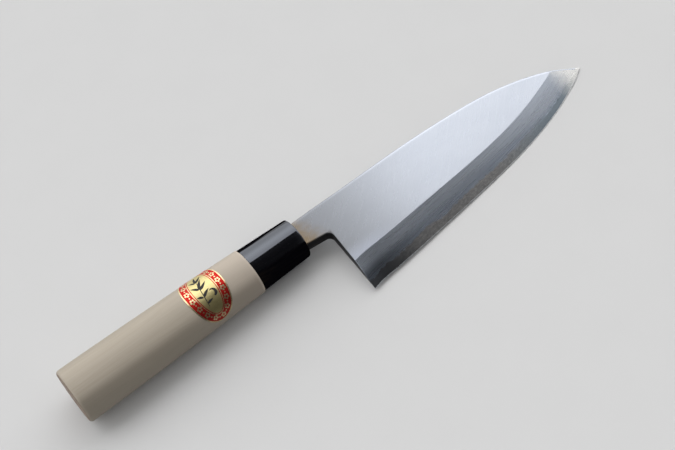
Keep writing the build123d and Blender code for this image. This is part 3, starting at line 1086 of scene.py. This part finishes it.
wall = get(tree, "GeometryNodeCurvePrimitiveQuadrilateral", "Curve",
           Width=given["Length"], Height=given["Wall"])
wall_x, wall_y, _ = split_places(position)
is_front = wall_x.math("GREATER_THAN", 0.0)
is_outer = wall_y.math("GREATER_THAN", 0.0)
outer_round = between(given["Rear Round"], given["Front Round"], is_front)
soft_wall = get(tree, "GeometryNodeFilletCurve", "Curve", {"mode": "POLY"}, Curve=wall,
                Radius=between(given["Bore Round"], outer_round, is_outer),
                Count=given["Steps Of Each Round"])
even_wall = get(tree, "GeometryNodeSubdivideCurve", "Curve", Curve=soft_wall,
                Cuts=given["Cuts Of Each Edge"])
section, way_through = remember(tree, even_wall, "wall place", position)
swept = get(tree, "GeometryNodeCurveToMesh", "Mesh", Curve=path, Profile_Curve=section)

turn_x, turn_y, _ = split_places(way_round)
section_x, section_y, _ = split_places(way_through)
share = section_x / given["Length"] + 0.5
part = section_y / given["Wall"] + 0.5
half_height, half_thickness = (
    between(given["Bore Half " + way], between(given["Rear Half " + way],
                                               given["Front Half " + way], share), part)
    for way in ("Height", "Thickness"))
place = get(tree, "ShaderNodeCombineXYZ", "Vector", X=given["Start"] + share * given["Length"],
            Y=given["Rise"] + turn_x * half_height, Z=turn_y * half_thickness)
placed = get(tree, "GeometryNodeSetPosition", "Geometry", Geometry=swept, Position=place)
collar_mesh = grow("collar", tree, placed, black_horn, collar_sizes)
collar = make_piece("horn_collar", [tuple(v.co) for v in collar_mesh.vertices],
                    [list(p.vertices) for p in collar_mesh.polygons], [black_horn])

# %% [markdown]
# ## The seal round the neck
# Where the neck enters the handle, the maker fills the mouth with dark resin so that no water runs
# in. The resin climbs a little up the iron and the wood and sags between them, so a ring of points
# goes round the neck with a slight hollow.

# %% Make the seal
seal_place, seal_middle, seal_gap, seal_points = 128, (0.3, -0.2), 0.02, 96
seal_profile = (  # share of the way from the neck to the wood, and depth behind the tenon's end
    (1, 3.65), (1, 1.6), (1, 0.2), (0.85, 0.28), (0.6, 0.4), (0.35, 0.4), (0.15, 0.3),
    (0.04, 0.2), (0.04, 3.65))
dark_resin, tree, shader = start_finish("dark resin")
lumps = streaks(knife_millimetres(tree), (1.1, 1.1, 1.1), 5)
resin = paint((0.030, 0.019, 0.012), (lumps.fade(0.35, 0.7), (0.075, 0.048, 0.030)))
coat(shader, resin, lumps.fade(0.3, 0.7, 0.32, 0.5), lumps, 0.4, 0.0001)


def neck_corners(x):
    """The neck's own section, a hair larger."""
    low = -neck_drop - neck_flare * (x - neck_end) / (neck_start - neck_end) - seal_gap
    high = spine_at(x) + seal_gap
    return [(high, back_z + flat_height(x, high) + seal_gap),
            (low, back_z + flat_height(x, low) + seal_gap),
            (low, back_z - seal_gap), (high, back_z - seal_gap)]


seal_angles = angles_with(neck_corners(seal_place) + mouth, seal_middle, seal_points)
inner, outer = (polygon_ring(0, corners, seal_middle, seal_angles)
                for corners in (neck_corners(seal_place), mouth))
seal_rings = [[(tenon_end - back, a[1] + share * (b[1] - a[1]), a[2] + share * (b[2] - a[2]))
               for a, b in zip(inner, outer)] for share, back in seal_profile]
seal_places, seal_faces = skin_rings(seal_rings, closed=True)
seal = make_piece("resin_seal", seal_places, seal_faces, [dark_resin])

# %% [markdown]
# ## The label
# The label is an oval of printed gold foil, stuck round the front of the handle. It is easiest to
# draw flat, as the printer did: `s` runs along the handle and `a` round it, both in millimetres.
# `wrap` then lays any flat drawing on the wood. The drawing itself is a plain ornament of its own:
# small blossoms on a red band, and a spray of bamboo leaves on gold.

# %% Wrap a flat drawing round the wood
label_middle, label_half_width, label_radius = 75.45, 10.55, 12.3
label_reach, label_turn = radians(84), radians(4)
label_half_length = label_reach * label_radius


def wrap(s, a, height):
    """A place of the flat label, laid on the wood and raised above it."""
    x, angle = label_middle + s, label_turn + a / label_radius
    rise, tall, thick = oval_at(x)
    normal = Vector((sin(angle) * thick, cos(angle) * tall)).normalized()
    return (x, rise + tall * sin(angle) + normal.x * height,
            thick * cos(angle) + normal.y * height)


def stick_on(name, flat, faces, finishes, face_finish, low, high):
    """A thin closed piece from a flat drawing: its skin at high, its underside at low, walls."""
    count = len(flat)
    lift = high if callable(high) else (lambda s, a: high)
    places = [wrap(s, a, lift(s, a)) for s, a in flat] + [wrap(s, a, low) for s, a in flat]
    solid, finish, directed = [], [], {}
    for k, face in enumerate(faces):
        solid += [list(face), [count + v for v in reversed(face)]]
        finish += [face_finish[k]] * 2
        for p, q in zip(face, face[1:] + face[:1]):
            directed[p, q] = k
    for (p, q), k in directed.items():
        if (q, p) not in directed:
            solid.append([q, p, count + p, count + q])
            finish.append(face_finish[k])
    return make_piece(name, places, solid, finishes, finish, soften=50)


print("the flat label is", round(2 * label_half_width, 1), "by",
      round(2 * label_half_length, 1), "mm")

# %% [markdown]
# The foil is metal under a thin clear lacquer. It is never quite flat on wood, so a soft noise
# bends its reflection. The inks are printed over the foil and keep a little of its gloss.

# %% Finishes of the label
def foil_finish(name, dark, light, metallic, roughness):
    """Printed foil or ink with small crumples, with painted shade on the label's low side."""
    material, tree, shader = start_finish(name)
    places = knife_millimetres(tree)
    _, across, _ = split_places(places)
    specks = streaks(places, (0.25, 0.25, 0.25), 4)
    # painted shade darkens the label's low side
    colour = paint(dark, (specks.fade(0.35, 0.7), light),
                   (across.fade(1.0, -10.5, 0.0, 0.65), tuple(0.12 * part for part in dark)))
    coat(shader, colour, specks.fade(0.3, 0.7, roughness, roughness + 0.12),
         streaks(places, (3, 3, 3), 3), 0.35, 0.0004, Metallic=metallic)
    return material


gold_foil = foil_finish("gold foil", (0.60, 0.505, 0.23), (0.76, 0.665, 0.34), 0.9, 0.32)
pale_rim = foil_finish("pale gold rim", (0.70, 0.58, 0.32), (0.84, 0.72, 0.45), 0.9, 0.24)
red_ink = foil_finish("red ink on foil", (0.47, 0.006, 0.003), (0.60, 0.013, 0.006), 0.70, 0.38)
black_ink = foil_finish("black ink", (0.004, 0.0035, 0.003), (0.012, 0.010, 0.009), 0.0, 0.55)
print("finishes of the label:", gold_foil.name, pale_rim.name, red_ink.name, black_ink.name)

# %% [markdown]
# The label's own shape is a set of oval rings, each a fixed distance inside the outline. The ring
# a face lies in decides its finish: rim, red band, pale line, red line, and the gold field.

# %% Make the label
rim_steps = (0.0, 0.3, 0.6, 1.5, 2.5, 3.5, 4.2, 4.6, 5.0)
rim_finishes = (1, 1, 2, 2, 2, 2, 1, 2)
label_points = 120
foil_height, rim_height, rim_middle, rim_spread = 0.14, 0.03, 0.3, 0.2


def label_oval(inset, scale=1.0):
    angles = [2 * pi * n / label_points for n in range(label_points)]
    return [(scale * (label_half_width - inset) * sin(t),
             scale * (label_half_length - inset) * cos(t)) for t in angles]


def foil_lift(s, a):
    """The pale rim is pressed up a little at its middle."""
    inset = label_half_width * (1 - hypot(s / label_half_width, a / label_half_length))
    return foil_height + rim_height * exp(-((inset - rim_middle) / rim_spread) ** 2)


rows = [label_oval(inset) for inset in rim_steps]
rows += [label_oval(rim_steps[-1], scale) for scale in (0.85, 0.68, 0.5, 0.32, 0.15)]
flat, faces = skin_rings(rows, None, (0.0, 0.0))
faces = [[face[0]] + face[:0:-1] for face in faces]
face_finish = [rim_finishes[k // label_points] if k // label_points < len(rim_finishes) else 0
               for k in range(len(faces))]
label = stick_on("foil_label", flat, faces, [gold_foil, pale_rim, red_ink, black_ink],
                 face_finish, 0.0, foil_lift)

# %% [markdown]
# The ornament on the red band repeats along an oval, which is work for Geometry Nodes. Points are
# spread evenly along the path, a blossom of five petals is set on every second point and a dot on
# those between, and a fixed seed turns each blossom a little. The result is flat, and is then
# wrapped on the wood as the label was.

# %% The tree of the band's ornament
band_inset, most_turn, print_low, band_high, spray_high = 2.55, 1.2, 0.12, 0.165, 0.162
band_sizes = {
    "Half Width": label_half_width - band_inset, "Half Length": label_half_length - band_inset,
    "Path Points": 240, "Blossoms": 17, "Petals": 5, "Petal": 0.50, "Petal Circle": 0.92,
    "Dot": 0.40, "Seed": 7}


def scatter(points, shape, **sockets):
    return get(tree, "GeometryNodeInstanceOnPoints", "Instances", Points=points, Instance=shape,
               **sockets)


def flat_ring(count, radius, fill="NGON"):
    return get(tree, "GeometryNodeMeshCircle", "Mesh", {"fill_type": fill}, Vertices=count,
               Radius=radius)


tree, given = start_tree("blossom band", band_sizes)
circle = get(tree, "GeometryNodeCurvePrimitiveCircle", "Curve", Resolution=given["Path Points"])
here_x, here_y, _ = split_places(get(tree, "GeometryNodeInputPosition", "Position"))
oval_place = get(tree, "ShaderNodeCombineXYZ", "Vector", X=here_x * given["Half Width"],
                 Y=here_y * given["Half Length"])
band_path = get(tree, "GeometryNodeSetPosition", "Geometry", Geometry=circle, Position=oval_place)
stops = get(tree, "GeometryNodeCurveToPoints", "Points", {"mode": "COUNT"}, Curve=band_path,
            Count=given["Blossoms"] * 2)
blossom = scatter(flat_ring(given["Petals"], given["Petal Circle"], "NONE"),
                  flat_ring(10, given["Petal"]))

index = get(tree, "GeometryNodeInputIndex", "Index")
odd = index.math("MODULO", 2.0)
turns = add_node(tree, "FunctionNodeRandomValue", {"data_type": "FLOAT"}, Seed=given["Seed"])
turns.inputs[2].default_value, turns.inputs[3].default_value = 0.0, most_turn
spin = get(tree, "ShaderNodeCombineXYZ", "Vector", Z=turns.outputs[1])
blossoms = scatter(stops, blossom, Selection=odd.math("LESS_THAN", 0.5), Rotation=spin)
dots = scatter(stops, flat_ring(8, given["Dot"]), Selection=odd.math("GREATER_THAN", 0.5))
band = add_node(tree, "GeometryNodeJoinGeometry")
plug(band.inputs["Geometry"], blossoms)
plug(band.inputs["Geometry"], dots)
band_mesh = grow("band", tree, band.outputs["Geometry"], pale_rim, band_sizes)
blossom_band = stick_on("blossom_band", [(v.co.x, v.co.y) for v in band_mesh.vertices],
                        [list(p.vertices) for p in band_mesh.polygons], [pale_rim],
                        [0] * len(band_mesh.polygons), print_low, band_high)

# %% [markdown]
# The spray of bamboo is drawn from a given list: a stem, lens-shaped leaves, and a young moon,
# which is one more leaf, strongly bent. Each is a strip of quads that is widest a third of the way
# along.
# Strips stay close to the wood when they are wrapped, because every cross-line has points of its
# own.

# %% Draw the spray of leaves
spray = (  # start, direction in degrees, length, width, bend and steps
    ((-2.6, -8.6), 84, 17.5, 0.42, -0.10, 16), ((2.3, -5.2), 0, 6.4, 1.35, 3.9, 24),
    ((-2.2, -3.4), 38, 5.2, 1.35, -0.35, 10), ((-2.4, -3.3), 150, 3.4, 1.15, 0.3, 10),
    ((-1.7, 0.6), 20, 5.6, 1.45, 0.35, 10), ((-1.7, 0.9), 62, 6.4, 1.5, -0.25, 10),
    ((-1.8, 0.8), 132, 4.4, 1.3, 0.3, 10), ((-1.1, 5.4), 30, 5.0, 1.3, 0.3, 10),
    ((-1.1, 5.5), 80, 4.9, 1.2, -0.2, 10), ((-1.2, 5.3), 140, 3.4, 1.1, 0.3, 10),
    ((-2.4, -6.6), 20, 3.6, 1.1, -0.3, 10))
leaf_shift, leaf_fullness, leaf_end = 0.62, 0.9, 0.02  # with a shift of 1 it is widest halfway


def leaf(start, direction, length, width, bend, steps):
    """A leaf from its stalk to its point, as rows of three places."""
    heading, place, rows = radians(direction), Vector(start), []
    for step in range(steps + 1):
        part = step / steps
        turn = heading + bend * part
        ahead, aside = Vector((cos(turn), sin(turn))), Vector((-sin(turn), cos(turn)))
        belly = sin(pi * part ** leaf_shift) ** leaf_fullness if 0 < part < 1 else leaf_end
        half = width / 2 * belly
        rows += [tuple(place - half * aside), tuple(place), tuple(place + half * aside)]
        place = place + ahead * (length / steps)
    return rows


flat, faces = [], []
for strip in spray:
    start, rows = len(flat), leaf(*strip)
    flat += rows
    for a in range(start, start + len(rows) - 3, 3):
        faces += [[c + 3, c + 4, c + 1, c] for c in (a, a + 1)]
leaf_spray = stick_on("leaf_spray", flat, faces, [black_ink], [0] * len(faces), print_low,
                      spray_high)

# %% [markdown]
# ## Put the pieces on the frame
# Every new piece rides on the one body of the knife, and the CAD piece that it replaces is hidden.
# The slot of the record that gives its finish is printed with it.

# %% Ride, replace and print the slots
for piece, node, slot in ((soft_iron, "jigane", "soft_iron"), (hard_steel, "hagane", "edge_steel"),
                          (handle, "handle", "pale_wood"), (collar, "ferrule", "black_horn"),
                          (seal, "seal", "resin"), (label, "label", "foil_label"),
                          (blossom_band, None, "foil_label"), (leaf_spray, None, "foil_label")):
    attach(piece, "root")
    if node:
        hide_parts(node)
    print(piece.name, "rides on root with slot", slot)

# %% [markdown]
# ## Floor and light
# The floor is plain, a pale grey, and as wide as the eye reaches. One quad is enough for it,
# because only its finish and the knife's shadow on it are seen.

# %% The floor
half_floor = 12
floor_paint, tree, shader = start_finish("floor paint")
speckle = get(tree, "ShaderNodeTexNoise", "Fac", Scale=40.0,
              Vector=get(tree, "ShaderNodeTexCoord", "Object"))
plug(shader.inputs["Base Color"], paint((0.655, 0.655, 0.655), (speckle, (0.675, 0.675, 0.675))))
shader.inputs["Roughness"].default_value = 0.9
shader.inputs["Specular IOR Level"].default_value = 0.0
floor_mesh = bpy.data.meshes.new("floor")
floor_mesh.from_pydata([(a * half_floor, b * half_floor, 0)
                        for a, b in ((-1, -1), (1, -1), (1, 1), (-1, 1))], [], [(0, 1, 2, 3)])
floor_mesh.materials.append(floor_paint)
floor = bpy.data.objects.new("floor", floor_mesh)
bpy.context.scene.collection.objects.link(floor)
print("the floor is", 2 * half_floor, "m wide")

# %% [markdown]
# The light is one large soft panel, made in the world from the direction of each ray. It hangs on
# the spine side, from a little past overhead down to the floor. The satin iron mirrors it, the
# polished horn shows its border as a crisp band, and the bevel misses it. The other side is dim
# close to the panel, and brighter beyond the tip and behind the butt, so that the steel has
# something to mirror from every side.

# %% The world as a soft panel and its dim side
panel_border = radians(17.6)
world = bpy.data.worlds.new("studio")
world.use_nodes = True
bpy.context.scene.world = world
tree = world.node_tree
background = tree.nodes["Background"]
direction = get(tree, "ShaderNodeTexCoord", "Generated")


def facing(way):
    """How nearly a ray runs in a direction of the knife, from -1 to 1."""
    node = add_node(tree, "ShaderNodeVectorMath", {"operation": "DOT_PRODUCT"})
    plug(node.inputs[0], direction)
    plug(node.inputs[1], knife_turn @ Vector(way).normalized())
    return Value(node.outputs["Value"])


tipwards, spinewards = facing((1, 0, 0)), facing((0, 1, 0))
on_panel = facing((0.15, cos(panel_border), -sin(panel_border))).fade(-0.012, 0.012)
panel_level = spinewards.fade(0.30, 0.66, 1.75, 2.25) * spinewards.fade(0.66, 0.96, 1.0, 0.60)
dim_level = tipwards.fade(0.32, 0.46, 0.04, 0.42) + tipwards.fade(-0.12, -0.48, 0.0, 0.65)
studio = on_panel * panel_level + (1.0 - on_panel) * dim_level
print("the panel's border is tilted by", round(degrees(panel_border), 1), "degrees")

# %% [markdown]
# The camera sees a plain pale backdrop instead of the panel, and close to the floor so do glossy
# and clear surfaces. Its colour is the one that the lit floor takes. A soft lamp fills the shade
# for all that doesn't shine, and stays out of reflections.

# %% The pale backdrop and the soft lamp
rays = add_node(tree, "ShaderNodeLightPath").outputs
low_down = split_places(direction)[2].fade(0.16, 0.05)
mirrored = low_down * Value(rays["Is Glossy Ray"]).math("MAXIMUM", rays["Is Transmission Ray"])
backdrop = mirrored.math("MAXIMUM", rays["Is Camera Ray"])
plug(background.inputs["Color"], paint((1.0, 1.0, 1.0), (backdrop, (0.672, 0.672, 0.672))))
plug(background.inputs["Strength"], (1.0 - backdrop) * studio + backdrop)

lamp_data = bpy.data.lights.new("soft lamp", "SUN")
lamp_data.energy = 0.15
lamp_data.angle = radians(50)
lamp = bpy.data.objects.new("soft lamp", lamp_data)
lamp_way = knife_turn @ Vector((0.10, -0.26, 0.96))
lamp.rotation_euler = lamp_way.to_track_quat("Z", "Y").to_euler()
lamp.visible_glossy = False
bpy.context.scene.collection.objects.link(lamp)
bpy.context.scene.view_settings.view_transform = "Standard"
print("lamp strength", lamp_data.energy)
